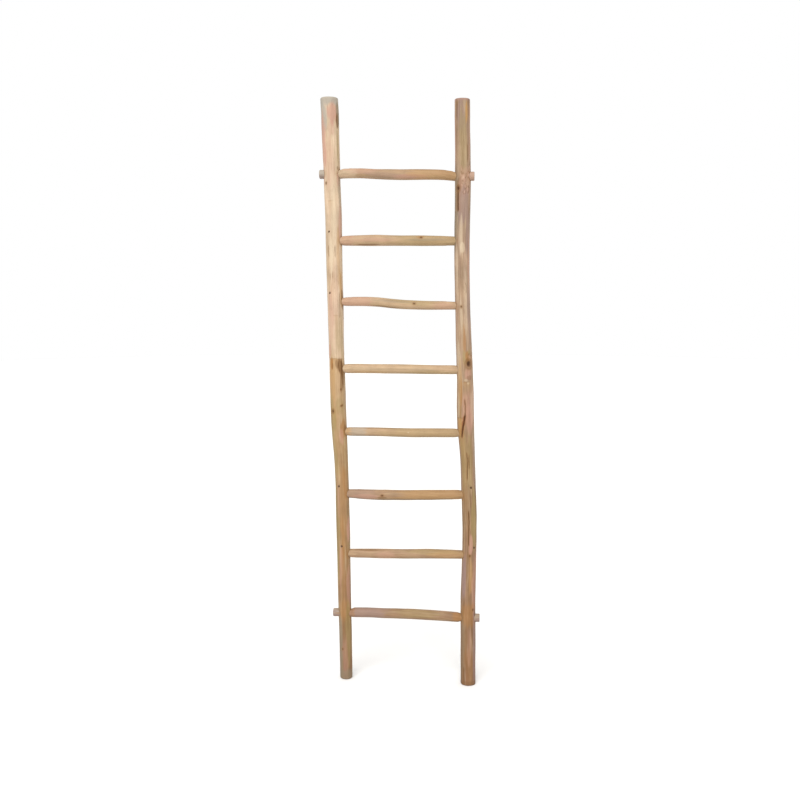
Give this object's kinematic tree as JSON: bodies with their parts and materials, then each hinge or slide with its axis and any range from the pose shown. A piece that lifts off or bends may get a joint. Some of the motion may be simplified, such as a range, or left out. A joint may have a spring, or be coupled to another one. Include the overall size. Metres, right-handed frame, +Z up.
{
  "type": "ladder shelf",
  "caption": "Rustic leaning ladder shelf of peeled teak poles joined by round tenoned rungs, for hanging towels, blankets or clothes.",
  "frame": {"origin": "on the floor, under the middle of the ladder's bounding box, with both feet flat on the plane z = 0", "axes": "+Z up along the rails, +X to the right along the rungs, and the front faces -Y"},
  "size_m": [0.5324, 0.0624, 1.9431],
  "materials": {
    "left_rail_wood": "peeled, lightly sanded, no varnish",
    "right_rail_wood": "peeled, rough and weathered, no varnish",
    "rung_wood": "peeled and sanded smooth, no varnish",
    "nail_steel": "dull wire nail, darkened by the wood"
  },
  "bodies": {
    "root": {"rail_left": "left_rail_wood", "rail_right": "right_rail_wood", "rung_1": "rung_wood", "rung_2": "rung_wood", "rung_3": "rung_wood", "rung_4": "rung_wood", "rung_5": "rung_wood", "rung_6": "rung_wood", "rung_7": "rung_wood", "rung_8": "rung_wood", "nail_left_1": "nail_steel", "nail_left_2": "nail_steel", "nail_left_3": "nail_steel", "nail_left_4": "nail_steel", "nail_left_5": "nail_steel", "nail_left_6": "nail_steel", "nail_left_7": "nail_steel", "nail_left_8": "nail_steel", "nail_right_1": "nail_steel", "nail_right_2": "nail_steel", "nail_right_3": "nail_steel", "nail_right_4": "nail_steel", "nail_right_5": "nail_steel", "nail_right_6": "nail_steel", "nail_right_7": "nail_steel", "nail_right_8": "nail_steel"}
  },
  "joints": []
}
